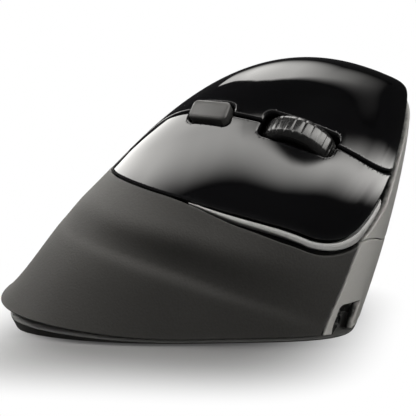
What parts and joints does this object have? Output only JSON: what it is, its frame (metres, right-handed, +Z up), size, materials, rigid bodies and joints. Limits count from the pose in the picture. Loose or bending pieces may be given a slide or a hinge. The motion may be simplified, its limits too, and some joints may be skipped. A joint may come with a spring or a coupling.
{
  "type": "computer mouse, vertical",
  "caption": "Upright right-handed ergonomic mouse with gloss black keys, ribbed scroll wheel, thumb buttons, soft-touch body and a charging socket in the front cover",
  "frame": {"origin": "middle of the underside at table height, under the glide feet", "axes": "+Z up, +Y to the front (fingertips), +X to the finger side, -X to the thumb side"},
  "size_m": [0.0781, 0.1084, 0.072],
  "materials": {
    "body_rubber": "soft-touch coating with a fine grain",
    "front_plastic": "satin light grey moulding",
    "key_gloss": "piano black, high gloss",
    "trim_light": "bright satin strip",
    "frame_black": "matte black",
    "wheel_rubber": "ribbed rubber",
    "wheel_plastic": "satin black",
    "speed_button": "fine matte",
    "thumb_plastic": "satin dark grey",
    "base_plastic": "moulded matte",
    "glide_foot": "slick low-friction sheet",
    "switch_black": "moulded switch case",
    "plunger_plastic": "small moulded pins",
    "slider_plastic": "small moulded slider",
    "board_green": "solder resist",
    "lens_clear": "clear moulded lens",
    "battery_wrap": "foil wrap",
    "socket_metal": "drawn steel shell",
    "screw_metal": "zinc plated"
  },
  "bodies": {
    "chassis": {"base_plate": "base_plastic", "foot_front_finger": "glide_foot", "foot_front_thumb": "glide_foot", "foot_rear_finger": "glide_foot", "foot_rear_thumb": "glide_foot", "main_shell": "body_rubber", "thumb_shell": "body_rubber", "front_cover": "front_plastic", "nose_panel": "front_plastic", "edge_trim": "trim_light", "button_frame": "frame_black", "left_switch": "switch_black", "right_switch": "switch_black", "wheel_housing": "frame_black", "wheel_encoder": "switch_black", "middle_switch": "switch_black", "dpi_switch": "switch_black", "thumb_switch_forward": "switch_black", "thumb_switch_back": "switch_black", "power_switch": "switch_black", "main_board": "board_green", "sensor": "switch_black", "sensor_lens": "lens_clear", "battery": "battery_wrap", "port_pocket": "frame_black", "port_shell": "socket_metal", "port_tongue": "switch_black", "screw_front": "screw_metal", "screw_rear": "screw_metal"},
    "left_key": {"left_button": "key_gloss"},
    "right_key": {"right_button": "key_gloss"},
    "left_pin": {"left_plunger": "plunger_plastic"},
    "right_pin": {"right_plunger": "plunger_plastic"},
    "wheel_cradle": {"wheel_carrier": "wheel_plastic"},
    "wheel": {"wheel_hub": "wheel_plastic", "wheel_tyre": "wheel_rubber"},
    "middle_pin": {"middle_plunger": "plunger_plastic"},
    "speed_key": {"dpi_button": "speed_button"},
    "forward_key": {"thumb_forward": "thumb_plastic"},
    "back_key": {"thumb_back": "thumb_plastic"},
    "power_knob": {"power_slider": "slider_plastic"}
  },
  "joints": [
    {"name": "left_click", "type": "hinge", "parent": "chassis", "child": "left_key", "pos_m": [-0.00012, -0.01357, 0.05232], "axis": [-0.618, 0.3116, 0.7218], "range_deg": [0, 0.45], "stiffness_Nm_per_rad": 3},
    {"name": "right_click", "type": "hinge", "parent": "chassis", "child": "right_key", "pos_m": [-0.00012, -0.01357, 0.05232], "axis": [-0.618, 0.3116, 0.7218], "range_deg": [0, 0.45], "stiffness_Nm_per_rad": 3},
    {"name": "left_pin_slide", "type": "slide", "parent": "chassis", "child": "left_pin", "axis": [-0.6237, -0.3901, -0.6774], "range_m": [0, 0.00045]},
    {"name": "right_pin_slide", "type": "slide", "parent": "chassis", "child": "right_pin", "axis": [-0.8233, -0.173, -0.5406], "range_m": [0, 0.00045]},
    {"name": "wheel_click", "type": "slide", "parent": "chassis", "child": "wheel_cradle", "axis": [-0.7757, -0.0921, -0.6243], "range_m": [0, 0.0005], "stiffness_N_per_m": 1200},
    {"name": "wheel_spin", "type": "hinge", "parent": "wheel_cradle", "child": "wheel", "pos_m": [0.00718, 0.0261, 0.04792], "axis": [-0.618, 0.3116, 0.7218], "continuous": true},
    {"name": "middle_pin_slide", "type": "slide", "parent": "chassis", "child": "middle_pin", "axis": [-0.7757, -0.0921, -0.6243], "range_m": [0, 0.0006]},
    {"name": "speed_press", "type": "slide", "parent": "chassis", "child": "speed_key", "axis": [-0.7443, 0.1869, -0.6412], "range_m": [0, 0.0005], "stiffness_N_per_m": 1200},
    {"name": "forward_press", "type": "slide", "parent": "chassis", "child": "forward_key", "axis": [0.985, 0.0836, -0.1511], "range_m": [0, 0.0005], "stiffness_N_per_m": 1200},
    {"name": "back_press", "type": "slide", "parent": "chassis", "child": "back_key", "axis": [0.9892, 0.1407, -0.0419], "range_m": [0, 0.0005], "stiffness_N_per_m": 1200},
    {"name": "power_slide", "type": "slide", "parent": "chassis", "child": "power_knob", "axis": [0, 1, 0], "range_m": [0, 0.0025]}
  ],
  "couplings": [
    {"joint": "left_pin_slide", "follows": "left_click", "m_per_rad": 0.045345},
    {"joint": "right_pin_slide", "follows": "right_click", "m_per_rad": 0.051328},
    {"joint": "middle_pin_slide", "follows": "wheel_click", "ratio": 1}
  ]
}
